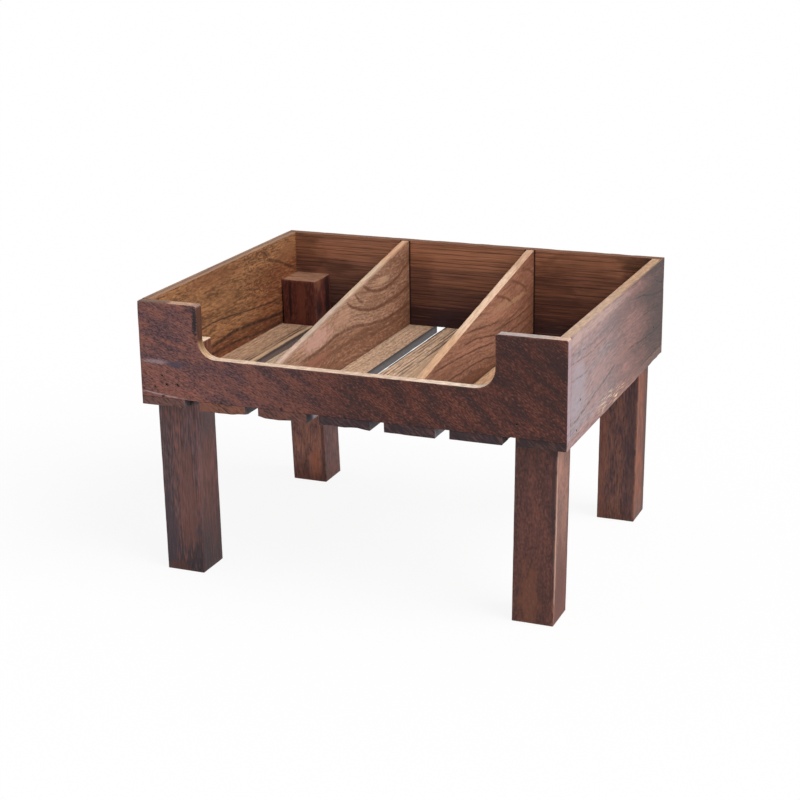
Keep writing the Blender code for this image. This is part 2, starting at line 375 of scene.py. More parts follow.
def drill(piece, node):
    # holes for the nails that pass through this piece
    nails = nailsIn(node)
    if not nails:
        return
    bm = bmesh.new()
    for name, start, end in nails:
        axis = max(range(3), key=lambda i: end[i] - start[i])
        past = 0.0 if name in holeSize["filled"] else holeSize["past"]
        made = bmesh.ops.create_cone(bm, cap_ends=True, segments=holeSize["sides"], radius1=holeSize["radius"],
                                     radius2=holeSize["radius"], depth=end[axis] - start[axis] + 2 * past)
        turn = unit(2).rotation_difference(unit(axis)).to_matrix()
        bmesh.ops.rotate(bm, matrix=turn, verts=made["verts"])
        bmesh.ops.translate(bm, vec=(start + end) / 2, verts=made["verts"])
    cutter = bpy.data.objects.new("drill", bpy.data.meshes.new("drill"))
    bm.to_mesh(cutter.data)
    bm.free()
    bpy.context.scene.collection.objects.link(cutter)
    cut = piece.modifiers.new("holes", "BOOLEAN")
    cut.object = cutter
    cut.solver = "EXACT"
    ready = piece.evaluated_get(bpy.context.evaluated_depsgraph_get())
    drilled = bpy.data.meshes.new_from_object(ready)
    piece.modifiers.clear()
    old = piece.data
    piece.data = drilled
    bpy.data.meshes.remove(old)
    bpy.data.objects.remove(cutter)


def showPiece(name, bm, node, material):
    mesh = bpy.data.meshes.new(name)
    bmesh.ops.recalc_face_normals(bm, faces=bm.faces)
    bm.to_mesh(mesh)
    bm.free()
    mesh.materials.append(material)
    piece = bpy.data.objects.new(name, mesh)
    bpy.context.scene.collection.objects.link(piece)
    drill(piece, node)
    piece.data.shade_smooth()
    piece.data.set_sharp_from_angle(angle=math.radians(wearSpec["smoothAngle"]))
    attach(piece, "root")
    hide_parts(node)
    return piece


# Mauve face on the right, shared by the side board, the ends of the front and the back, and the last slat

plumLine = tone(84, 44, 38)
blackLine = tone(12, 5, 4)
markBrown = tone(62, 36, 36)

rightLook = {
    "seed": 21.9, "patch": (7, 50), "streak": (7, 210), "fleck": (60, 460), "pore": (70, 560), "poreDepth": 1.6,
    "streakDepth": 0.9, "darkDepth": 0.45, "brightDepth": 0.1, "rough": 0.34, "gloss": 0.5,
    "front": tone(130, 110, 114), "middle": tone(107, 72, 67), "back": tone(55, 33, 29), "pink": tone(136, 92, 84),
    "band": tone(146, 112, 104), "inside": tone(138, 94, 62), "insideWarm": tone(150, 104, 72),
    "dark": tone(62, 38, 36), "bright": tone(172, 128, 110), "sawn": tone(180, 141, 108), "sawnGrain": (300, 70, 1.8),
    "rub": tone(170, 142, 136), "rubbed": 0.3, "gold": tone(234, 198, 156), "slatEdge": tone(186, 150, 138),
    "bow": 0.25, "middleFade": (-0.17, 0.03), "backFade": (0.0, 0.15), "pinkFade": (0.2, 0.0), "pinkDepth": 0.6,
    "bandRise": (0.306, 0.315), "bandFade": (0.06, -0.06), "bandDepth": 0.8,
    "slatRise": (0.2145, 0.2132), "slatDepth": 0.14, "arris": tone(164, 146, 156), "arrisFade": (-0.186, -0.192),
    "arrisDepth": 0.45, "glintGrain": (200, 40, 1000), "glintStep": (0.56, 0.65), "glintDepth": 0.85,
    "glintRise": (0.2045, 0.2075, 0.219, 0.229), "glintReach": (-0.10, -0.07, -0.01, 0.05),
    "runFade": (0.2468, 0.2490), "runSway": 0.005, "runDepth": 0.65, "dullFade": (-0.1, 0.15), "dull": 0.3,
    "wobble": 0.003, "relief": 0.0002,
    "strokes": [
        ([(-190, 312), (0, 311.5), (190, 313)], 0.5, 2.0, tone(96, 66, 62), 0.4),
        ([(-190, 304.5), (-150, 300.8), (-117, 298.3), (-75, 299.5), (-25, 302)], 0.55, 1.1, plumLine, 0.85),
        ([(-188, 295), (-150, 292), (-117, 290.3), (-80, 290.8), (-45, 292.5), (-12, 294)], 0.6, 1.2, plumLine, 0.9),
        ([(-190, 277), (-162, 273.8), (-142, 272.5), (-125, 273)], 0.5, 1.1, plumLine, 0.75),
        ([(-188, 229.5), (-175, 228.8), (-150, 231.3), (-127, 234.5), (-100, 238.3), (-70, 242), (-40, 245.8),
          (-20, 248.3)], 0.9, 1.4, tone(64, 34, 32), 0.95),
        ([(40, 251), (62, 249.5), (87, 247), (125, 244.5), (190, 243)], 0.55, 1.2, tone(14, 6, 5), 0.85),
        ([(60, 305), (100, 300), (125, 294.5), (150, 289.5), (175, 286.5), (195, 284.5)], 0.55, 1.1, blackLine, 0.9),
        ([(107, 274.5), (135, 273.3), (162, 271.3), (192, 269.5)], 0.55, 1.1, blackLine, 0.85),
        ([(155, 305.8), (197, 293.3)], 0.5, 1.0, blackLine, 0.8),
    ],
    "spots": [
        ((-165, 262), (34, 40), tone(140, 128, 138), 0.55),
        ((-180, 317), (50, 8), tone(172, 138, 130), 0.6),
        ((-70, 319), (150, 5), tone(168, 132, 122), 0.3),
        ((-80, 258), (30, 12), tone(138, 98, 90), 0.4),
        ((30, 252), (45, 8), tone(126, 84, 70), 0.4),
        ((-20, 301), (80, 11), tone(82, 55, 51), 0.3),
        ((-153.5, 247.5), (5, 1.5), markBrown, 0.6),
        ((-165, 217), (4, 1.4), markBrown, 0.6),
    ],
}


def sidePaint(x, y, z):
    look = rightLook
    # painted sheen: the face is pale grey at the front and darkens towards the back
    cool = paint(look["front"], look["middle"], rise(y, *look["middleFade"]))
    cool = paint(cool, look["back"], rise(y, *look["backFade"]))
    warm = paint(cool, look["pink"], rise(y, *look["pinkFade"]) * look["pinkDepth"])
    band = rise(z, *look["bandRise"]) * rise(y, *look["bandFade"]) * look["bandDepth"]
    cool, warm = paint(cool, look["band"], band), paint(warm, look["band"], band)
    colour, height = grainPaint(cool, warm, y, z + y * y * look["bow"], x, look)
    soft = mottle(x, y, z, softGrain)
    colour = spotPaint(colour, y, z, look["spots"], soft)
    colour = strokePaint(colour, y, z, look["strokes"], (soft - 0.5) * look["wobble"], mottle(x, y, z, crispGrain))
    colour = paint(colour, look["slatEdge"], rise(z, *look["slatRise"]) * look["slatDepth"])
    glint = rise(mottle(x, y, z, look["glintGrain"]), *look["glintStep"]) * window(z, *look["glintRise"])
    return paint(colour, look["gold"], glint * window(y, *look["glintReach"]) * look["glintDepth"]), height


# Drop front with its scoop

frontSpec = {
    "leftTower": 0.0745, "rightTower": 0.0785, "lip": 0.050, "leftRound": 0.0205, "rightRound": 0.0225,
    "towerRound": 0.004, "cornerRound": 0.0025,
}


def frontForm():
    low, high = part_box("front_board")
    left = low.x + frontSpec["leftTower"]
    right = high.x - frontSpec["rightTower"]
    lip = low.z + frontSpec["lip"]
    corners = [(low.x, low.z), (high.x, low.z), (high.x, high.z), (right, high.z), (right, lip), (left, lip),
               (left, high.z), (low.x, high.z)]
    bm = outlineForm([(x, low.y, z) for x, z in corners], (0, high.y - low.y, 0))
    rounds = [(left, lip, "leftRound"), (right, lip, "rightRound"), (left, high.z, "towerRound"),
              (right, high.z, "towerRound"), (high.x, high.z, "cornerRound")]
    for x, z, key in rounds:
        edge = [e for e in bm.edges if all(abs(v.co.x - x) + abs(v.co.z - z) < 1e-5 for v in e.verts)]
        roundEdges(bm, edge, frontSpec[key], 12)
    return bm


frontLook = {
    "seed": 3.1, "patch": (26, 70), "streak": (70, 420), "fleck": (290, 720), "pore": (190, 540), "poreDepth": 2.0,
    "streakDepth": 0.8, "darkDepth": 0.74, "brightDepth": 0.48, "rough": 0.46, "gloss": 0.28, "relief": 0.00025,
    "bend": 0.42, "slope": 0.28, "bendFrom": 0.25, "wobble": 0.003, "softGrain": (90, 90, 90),
    "leftCool": tone(101, 67, 69), "leftWarm": tone(125, 78, 70), "rightCool": tone(63, 32, 28),
    "rightWarm": tone(84, 39, 30), "sideFade": (-0.20, 0.05), "lowRise": (0.262, 0.232), "lowFade": (-0.14, -0.20),
    "low": tone(134, 82, 72), "inside": tone(128, 82, 60), "dark": tone(42, 29, 33), "bright": tone(138, 90, 74),
    "sawn": tone(216, 186, 162), "sawnGrain": (130, 420, 2.2), "sawnFade": (0.3, 0.85),
    "lipRight": tone(238, 214, 192), "lipFade": (0.06, 0.12), "scoop": tone(178, 144, 110), "scoopFade": (0.15, 0.6),
    "crown": tone(176, 137, 109), "crownRise": (0.30, 0.31), "corner": tone(140, 108, 94),
    "cornerReach": (-0.186, -0.181, -0.17, -0.16),
    "towerTops": [(tone(100, 68, 48), (-0.208, -0.215)), (tone(170, 153, 148), (0.160, 0.164)),
                  (tone(200, 164, 144), (0.212, 0.245))],
    "cheek": tone(82, 50, 38), "cheekHighlight": tone(140, 104, 74), "cheekHighlightRise": (0.2855, 0.2785), "cheekGrain": (60, 420, 40),
    "endGrain": tone(112, 70, 62), "endFade": (0.245, 0.249), "rub": tone(140, 102, 90), "rubbed": 0.4,
    "hole": tone(24, 14, 14), "holeReach": (2.4, 2.4), "holeDepth": 0.8, "raggedGrain": (240, 240, 800), "ragged": 2.6,
    "strokes": [
        ([(-222, 281), (-205, 277), (-188, 273)], 1.2, 2.2, tone(168, 100, 76), 0.5),
        ([(-248, 220), (-235, 218.5), (-215, 216.5), (-197, 214.8)], 0.4, 1.0, tone(186, 166, 168), 0.6),
    ],
    "spots": [
        ((-178.5, 306), (3.6, 24), tone(28, 20, 24), 0.95),
        ((-185, 317.5), (8, 3), tone(42, 30, 34), 0.6),
        ((-229, 255.5), (19, 3.0), tone(168, 146, 152), 0.55),
        ((-205, 254), (13, 4.6), tone(66, 60, 76), 0.8),
        ((214, 292), (62, 50), tone(40, 18, 15), 0.3),
    ],
}


def frontMaterial():
    look = frontLook
    mat, x, y, z = startMaterial("scoopStain")
    nx, ny, nz = facing(x)
    side = rise(x, *look["sideFade"])
    cool = paint(look["leftCool"], look["rightCool"], side)
    warm = paint(look["leftWarm"], look["rightWarm"], side)
    low = rise(z, *look["lowRise"]) * rise(x, *look["lowFade"])
    inner = toward(ny)
    cool = paint(paint(cool, look["low"], low * 0.5), look["inside"], inner)
    warm = paint(paint(warm, look["low"], low), look["inside"], inner)
    along = x + look["bendFrom"]
    colour, height = grainPaint(cool, warm, x, z + along * (along * look["bend"] + look["slope"]), y, look)
    sway = (mottle(x, y, z, look["softGrain"]) - 0.5) * look["wobble"]
    marked = strokePaint(colour, x, z, look["strokes"], sway, mottle(x, y, z, crispGrain))
    ragged = (mottle(x, y, z, look["raggedGrain"], 4.0, 0.75) - 0.5) * look["ragged"] + 0.5
    # dark rims painted round the nail holes: painted shade that widens each hole
    holes = [((start.x + end.x) * 500, (start.z + end.z) * 500) for name, start, end in nailsIn("front_board")
             if name not in holeSize["filled"]]  # middles in mm
    rims = [(hole, look["holeReach"], look["hole"], look["holeDepth"]) for hole in holes]
    marked = spotPaint(marked, x, z, look["spots"] + rims, ragged)
    colour = paint(colour, marked, toward(ny, -1))
    colour = rubEdges(colour, x, y, z, look)
    cheek = squarely(abs(nx))
    outer = rise(abs(x), *look["endFade"])
    streaked = mottle(x, y, z, look["cheekGrain"], 3.0)
    # painted highlight: the cheek is lighter towards its top
    cheekTone = paint(look["cheek"], look["cheekHighlight"], rise(z, *look["cheekHighlightRise"]))
    colour = paint(colour, lit(cheekTone, streaked * 1.8 + 0.1), cheek * (1 - outer))
    colour = paint(colour, lit(look["endGrain"], streaked + 0.5), cheek * outer)
    # painted highlight towards the front arris of the board's right end
    arris = rise(y, *rightLook["arrisFade"]) * rightLook["arrisDepth"]
    colour = paint(colour, paint(sidePaint(x, y, z)[0], rightLook["arris"], arris), squarely(nx) * outer)
    high = rise(z, *look["crownRise"])
    top = paint(look["sawn"], look["lipRight"], rise(x, *look["lipFade"]))
    top = paint(paint(top, look["crown"], high), look["corner"], window(x, *look["cornerReach"]) * high)
    for tint, fade in look["towerTops"]:
        top = paint(top, tint, rise(x, *fade) * high)
    # painted shade: the scoop's curve is darker where it turns toward the key light
    top = paint(top, look["scoop"], rise(nx, *look["scoopFade"]) * (1 - high))
    colour = sawnTop(colour, top, x, y, z, rise(nz, *look["sawnFade"]), look)
    return woodFinish(mat, colour, height, look)


showPiece("scoopedFront", weather(frontForm(), boardWear), "front_board", frontMaterial())
print("front shown")


# Straight back

backLook = {
    "seed": 7.7, "patch": (3, 40), "streak": (2.5, 170), "fleck": (15, 540), "pore": (30, 900), "poreDepth": 1.2,
    "streakDepth": 0.7, "darkDepth": 0.35, "brightDepth": 0.2, "rough": 0.52, "gloss": 0.3, "relief": 0.00025,
    "top": tone(172, 117, 90), "foot": tone(58, 34, 38), "outside": tone(112, 70, 62),
    "dark": tone(56, 32, 25), "bright": tone(190, 126, 86), "sawn": tone(104, 60, 28), "sawnGrain": (60, 500, 1.6),
    "rub": tone(150, 112, 92), "rubbed": 0.4, "endGrain": tone(84, 60, 56), "ring": tone(44, 24, 20),
    "ringStep": 0.0050, "ringSway": 2.0, "ringWidth": 0.13, "ringDepth": 0.65, "swayGrain": (3, 4, 26),
    "brokenGrain": (8, 16, 240), "spotGrain": (40, 40, 90), "topRise": (0.222, 0.318), "warmRise": (0.2, 0.32),
    "warmDepth": 0.25, "joint": tone(22, 13, 12), "jointWidth": 0.0022, "jointStart": (-0.013, -0.012),
    "jointDepth": 0.9,
    # painted shade and light across the bays: darker beside each divider's right face, towards the left end and across
    # the right bay into its corner, lighter in the left bay and the middle
    "spots": [
        ((-66, 262), (26, 60), tone(62, 34, 28), 0.45),
        ((108, 268), (44, 48), tone(66, 36, 28), 0.5),
        ((150, 300), (60, 30), tone(92, 54, 40), 0.45),
        ((242, 300), (44, 66), tone(30, 14, 10), 0.9),
        ((205, 268), (70, 36), tone(50, 24, 16), 0.3),
        ((-225, 295), (32, 36), tone(70, 39, 31), 0.6),
        ((-182, 282), (24, 14), tone(66, 38, 30), 0.45),
        ((-130, 296), (30, 20), tone(176, 122, 98), 0.4),
        ((8, 274), (26, 16), tone(134, 86, 64), 0.35),
    ],
}


def backMaterial():
    look = backLook
    mat, x, y, z = startMaterial("streakedBack")
    nx, ny, nz = facing(x)
    inner = toward(ny, -1)
    # painted shade and light: the inner face darkens towards the bottom and is lighter and warmer at the top
    ground = paint(look["foot"], look["top"], rise(z, *look["topRise"]))
    ground = paint(ground, look["outside"], toward(ny))
    # the inner face takes the patches of painted shade and light
    ground = paint(ground, spotPaint(ground, x, z, look["spots"], mottle(x, y, z, look["spotGrain"])), inner)
    warm = paint(ground, look["bright"], rise(z, *look["warmRise"]) * look["warmDepth"])
    colour, height = grainPaint(ground, warm, x, z, y, look)
    level = z / look["ringStep"] + mottle(x, y, z, look["swayGrain"]) * look["ringSway"]
    broken = mottle(x, y, z, look["brokenGrain"])
    colour = ringPaint(colour, level, broken, look["ring"], look["ringWidth"], look["ringDepth"])
    for node in ("divider_1", "divider_2"):
        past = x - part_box(node)[1].x  # the dark line beside a divider: painted shade in the joint, partly joint dirt
        line = rise(past, look["jointWidth"], look["jointWidth"] * 0.4) * rise(past, *look["jointStart"])
        colour = paint(colour, look["joint"], line * inner * look["jointDepth"])
    colour = rubEdges(colour, x, y, z, look)
    colour = paint(colour, lit(look["endGrain"], height * 0.9 + 0.6), squarely(nx, -1))
    colour = paint(colour, sidePaint(x, y, z)[0], squarely(nx))
    colour = sawnTop(colour, look["sawn"], x, y, z, toward(nz), look)
    return woodFinish(mat, colour, height, look)


showPiece("streakedBack", wornBox("back_board", boardWear), "back_board", backMaterial())
print("back shown")


# Two side boards

lineBrown = tone(50, 27, 18)

leftLook = {
    "seed": 12.4, "patch": (8, 40), "streak": (9, 320), "fleck": (90, 500), "pore": (110, 620), "poreDepth": 1.8,
    "streakDepth": 1.1, "darkDepth": 0.65, "brightDepth": 0.22, "rough": 0.5, "gloss": 0.4, "relief": 0.00025,
    "cool": tone(132, 90, 58), "warm": tone(147, 101, 66), "foot": tone(104, 57, 33), "far": tone(112, 62, 36),
    "outside": tone(112, 70, 62), "dark": tone(76, 44, 27), "bright": tone(186, 136, 90),
    "sawn": tone(137, 97, 65), "sawnGrain": (280, 16, 1.8), "seam": 0.2455, "seamSway": 0.006,
    "seamWidth": (0.0024, 0.0008), "seamDepth": 0.7, "rub": tone(150, 112, 82), "rubbed": 0.4,
    "slope": 0.05, "footRise": (0.25, 0.222), "farFade": (0.02, 0.12), "farRise": (0.312, 0.285), "farDepth": 0.85,
    "eyeGrain": (260, 210, 330), "eyeStep": (0.54, 0.64), "eyeReach": (0.02, 0.05, 0.11, 0.14),
    "eyeRise": (0.258, 0.27), "eyeDepth": 0.75, "wobble": 0.002, "gaps": 0.35,
    "strokes": [
        ([(-150, 262), (-78, 260.3), (-48, 260.8), (-13, 259), (22, 255.8), (62, 252), (137, 247)],
         0.7, 1.2, lineBrown, 0.8),
        ([(-150, 231), (-53, 232.8), (-25, 234), (2, 236.5), (25, 235.5), (62, 233), (100, 230), (140, 228)],
         1.6, 2.0, lineBrown, 1.0),
        ([(-60, 223), (-13, 223.3), (25, 222), (62, 218.3), (100, 217), (140, 215.8)], 1.2, 1.6, lineBrown, 0.95),
        ([(88, 319), (102, 311.5), (107, 304.5), (125, 299.5), (147, 292), (167, 283), (187, 278)],
         0.9, 2.2, lineBrown, 0.7),
        ([(-70, 289), (-20, 287), (50, 279), (90, 272), (137, 262)], 0.4, 1.4, lineBrown, 0.3),
    ],
    "spots": [
        ((160, 305), (34, 14), tone(128, 83, 54), 0.6),
        ((96, 312), (8, 9), tone(84, 52, 32), 0.6),
        ((-40, 315), (74, 12), tone(114, 69, 42), 0.55),
        ((-8, 283), (26, 20), tone(158, 110, 72), 0.3),
    ],
}


def leftMaterial():
    look = leftLook
    mat, x, y, z = startMaterial("goldenSide")
    nx, ny, nz = facing(x)
    low = rise(z, *look["footRise"])
    outer = toward(nx, -1)
    far = rise(y, *look["farFade"]) * rise(z, *look["farRise"]) * look["farDepth"]
    stains = [paint(paint(paint(look[key], look["far"], far), look["foot"], low), look["outside"], outer)
              for key in ("cool", "warm")]
    colour, height = grainPaint(*stains, y, z + y * look["slope"], x, look)
    soft = mottle(x, y, z, softGrain)
    crisp = mottle(x, y, z, crispGrain)
    marked = spotPaint(colour, y, z, look["spots"], crisp)
    marked = strokePaint(marked, y, z, look["strokes"], (soft - 0.5) * look["wobble"], crisp, look["gaps"])
    eyes = rise(mottle(x, y, z, look["eyeGrain"], 1.0), *look["eyeStep"]) * window(y, *look["eyeReach"])
    marked = paint(marked, look["dark"], eyes * rise(z, *look["eyeRise"]) * look["eyeDepth"])
    colour = paint(colour, marked, toward(nx))
    colour = rubEdges(colour, x, y, z, look)
    seam = rise(abs(x + look["seam"] + (soft - 0.5) * look["seamSway"]), *look["seamWidth"])
    top = paint(look["sawn"], look["dark"], seam * look["seamDepth"])
    colour = sawnTop(colour, top, x, y, z, toward(nz), look)
    return woodFinish(mat, colour, height, look)


def rightMaterial():
    look = rightLook
    mat, x, y, z = startMaterial("mauveSide")
    nx, ny, nz = facing(x)
    colour, height = sidePaint(x, y, z)
    inside = grainPaint(look["inside"], look["insideWarm"], y, z, x, look)[0]
    colour = paint(colour, inside, toward(nx, -1))
    colour = rubEdges(colour, x, y, z, look)
    edge = x + (mottle(x, y, z, softGrain) - 0.5) * look["runSway"]
    run = rise(edge, *look["runFade"]) * look["runDepth"]  # stain run over the edge
    colour = sawnTop(colour, look["sawn"], x, y, z, toward(nz) * (1 - run), look)
    rough = height * 0.12 + look["rough"] + rise(y, *look["dullFade"]) * look["dull"]
    return finishMaterial(mat, colour, rough, height, look["relief"], look["gloss"])


showPiece("goldenSide", wornBox("left_side_board", boardWear), "left_side_board", leftMaterial())
showPiece("mauveSide", wornBox("right_side_board", boardWear), "right_side_board", rightMaterial())
print("sides shown")


# Sloping dividers

archPen = (1.2, 2.2, tone(92, 54, 38))  # half width and softness in mm, colour
stepPen = (1.0, 2.2, tone(100, 60, 43))
thinPen = (0.55, 1.2, tone(80, 44, 31))
finePen = (0.6, 1.3, tone(74, 43, 31))
archBrown = tone(96, 58, 42)
ringOne = [(-141, 251.8), (-75, 254), (-39, 258), (-2, 257), (35, 251.3), (74, 244.6), (127, 241)]
ringTwo = [(-134, 261.3), (-61, 256), (-14, 251.6), (38, 244)]

dividerGrain = {
    "patch": (14, 60), "streak": (12, 240), "fleck": (100, 360), "pore": (150, 800), "poreDepth": 1.5,
    "streakDepth": 0.9, "darkDepth": 0.36, "brightDepth": 0.25, "rough": 0.52, "gloss": 0.4, "relief": 0.00025,
    "sawnGrain": (420, 60, 1.3), "ringStep": 0.0055, "ringSway": 1.6, "ringWidth": 0.22, "swayGrain": (9, 9, 60),
    "gaps": 0.3, "wobble": 0.003, "rubbed": 0.35, "underRise": (0.002, -0.006), "farFade": (0.02, 0.17),
    "farDepth": 0.85, "shadow": tone(66, 34, 20), "shadowRise": (0.2230, 0.2140), "topBlend": 0.02,
}
dividerLooks = {
    "divider_1": {
        **dividerGrain, "seed": 31.3, "cool": tone(154, 119, 95), "warm": tone(165, 126, 103),
        "under": tone(130, 90, 68), "far": tone(126, 83, 60), "dark": tone(88, 58, 44), "bright": tone(206, 164, 132),
        "rub": tone(128, 100, 86), "line": tone(96, 60, 44), "ringDepth": 0.35, "worn": 0.8, "shade": 0.3,
        "tops": [(-0.3, tone(206, 172, 152)), (-0.13, tone(188, 162, 142)), (-0.02, tone(200, 171, 142)),
                 (0.11, tone(202, 154, 117))],
        "rings": [(-188, 250), *ringOne, (188, 245)],
        "strokes": [
            ([*ringOne, (185, 245)], *archPen, 0.85),
            ([(-10, 290), (-1, 284), (14, 277.6), (44, 268), (75, 262.7), (116, 261.7), (157, 263), (185, 267)],
             *archPen, 0.85),
            ([(13, 295.6), (20, 288.5), (37, 279.8)], 1.4, 2.0, archBrown, 0.75),
            ([(38, 299.8), (53, 291.6), (76, 284.6), (100, 281.4), (137, 284), (171, 293.5), (187, 299)],
             *archPen, 0.9),
            ([(60, 305), (100, 299.5), (138, 298.5), (180, 304)], 0.8, 2.0, archBrown, 0.5),
            ([(-120, 236), (-30, 241), (40, 236), (120, 231), (185, 233)], 0.8, 2.4, tone(92, 56, 41), 0.45),
        ],
        "spots": [
            ((-95, 268), (48, 14), tone(200, 156, 142), 0.7),
            ((-95, 243), (44, 8), tone(156, 104, 84), 0.6),
            ((-25, 275), (28, 14), tone(186, 144, 120), 0.5),
            ((15, 249), (26, 4), tone(166, 124, 96), 0.5),
            ((-30, 247), (16, 3), tone(164, 120, 94), 0.5),
            ((100, 293), (24, 5), tone(196, 160, 128), 0.5),
            ((70, 274), (34, 12), tone(122, 82, 58), 0.45),
            ((40, 292), (24, 8), tone(118, 80, 58), 0.45),
            ((30, 243), (36, 4), tone(104, 66, 46), 0.5),
        ],
    },
    "divider_2": {
        **dividerGrain, "seed": 47.9, "cool": tone(148, 102, 79), "warm": tone(162, 112, 89),
        "under": tone(150, 103, 80), "far": tone(128, 81, 60), "dark": tone(86, 53, 40), "bright": tone(190, 142, 110),
        "rub": tone(112, 76, 58), "line": tone(90, 51, 35), "ringDepth": 0.3, "worn": 0.1, "shade": 0.75,
        "darkDepth": 0.25, "brightDepth": 0.15, "poreDepth": 1.1,
        "tops": [(-0.3, tone(206, 162, 125)), (-0.07, tone(224, 188, 158)), (0.12, tone(196, 154, 124))],
        "rings": [(-188, 263), *ringTwo, (90, 246), (188, 254)],
        "strokes": [
            ([(-162, 262.6), *ringTwo], *thinPen, 0.85),
            ([(-120, 241), (-98, 240), (-49, 238), (-10, 235), (43, 226)], *thinPen, 0.85),
            ([(-64, 267.7), (-42, 267), (-2, 261), (47, 251)], *thinPen, 0.8),
            ([(-49, 278.5), (-14, 275), (26, 269), (59, 266)], *finePen, 0.7),
            ([(42, 299.8), (67, 292.5), (93, 282.8), (103, 277)], *stepPen, 0.8),
            ([(97, 304.6), (127, 296), (150, 286), (161, 278)], *stepPen, 0.85),
            ([(140, 309), (168, 303), (190, 292.6)], *stepPen, 0.75),
            ([(42, 257.7), (85, 255.5), (124, 254.3), (187, 260.8)], *finePen, 0.7),
            ([(59, 259), (102, 260), (146, 263.4), (187, 269.8)], 0.5, *finePen[1:], 0.6),
            ([(76, 246), (129, 243), (187, 247)], *finePen, 0.7),
            ([(80, 229), (140, 232), (187, 236)], *finePen, 0.65),
        ],
        "spots": [
            ((-115, 250), (30, 7), tone(120, 76, 55), 0.4),
            ((-85, 221), (120, 14), tone(92, 50, 32), 0.6),
            ((-20, 283), (40, 5), tone(182, 134, 108), 0.5),
            ((60, 283), (34, 4.5), tone(184, 140, 108), 0.5),
            ((110, 278), (52, 4.2), tone(180, 138, 104), 0.6),
            ((85, 288), (16, 6), tone(176, 126, 96), 0.4),
            ((132, 290), (20, 7), tone(168, 118, 90), 0.4),
        ],
    },
}


def dividerForm(node):
    low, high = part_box(node)
    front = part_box("front_board")[0].z + frontSpec["lip"]
    bm = boxForm(low, high)
    for v in bm.verts:
        if v.co.z > front and v.co.y < 0:
            v.co.z = front
    return bm


def dividerMaterial(node):
    look = dividerLooks[node]
    mat, x, y, z = startMaterial(node + "_grain")
    nx, ny, nz = facing(x)
    level = z - handCurve(y, look["rings"])[0]  # height above one ring
    under = rise(level, *look["underRise"])
    far = rise(y, *look["farFade"]) * look["farDepth"]
    cool = paint(paint(look["cool"], look["under"], under), look["far"], far)
    warm = paint(paint(look["warm"], look["under"], under), look["far"], far * 0.8)
    colour, height = grainPaint(cool, warm, y, level, x, look)
    soft = mottle(x, y, z, softGrain)
    crisp = mottle(x, y, z, crispGrain)
    ring = level / look["ringStep"] + mottle(x, y, level, look["swayGrain"]) * look["ringSway"]
    colour = ringPaint(colour, ring, soft, look["line"], look["ringWidth"], look["ringDepth"])
    colour = spotPaint(colour, y, z, look["spots"], crisp)
    colour = strokePaint(colour, y, z, look["strokes"], (soft - 0.5) * look["wobble"], crisp, look["gaps"])
    colour = paint(colour, look["shadow"], rise(z, *look["shadowRise"]) * look["shade"])  # painted shade along the foot
    colour = rubEdges(colour, x, y, z, look)
    top = look["tops"][0][1]
    for at, tint in look["tops"][1:]:
        top = paint(top, tint, rise(y, at - look["topBlend"], at + look["topBlend"]))
    low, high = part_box(node)
    top = paint(top, look["far"], rise(x, (low.x + high.x) / 2, high.x) * look["worn"])
    colour = sawnTop(colour, top, x, y, z, toward(nz), look)
    return woodFinish(mat, colour, height, look)


for node in dividerLooks:
    showPiece(node + "_grained", weather(dividerForm(node), boardWear), node, dividerMaterial(node))
print("dividers shown")


# Legs, stained along their length

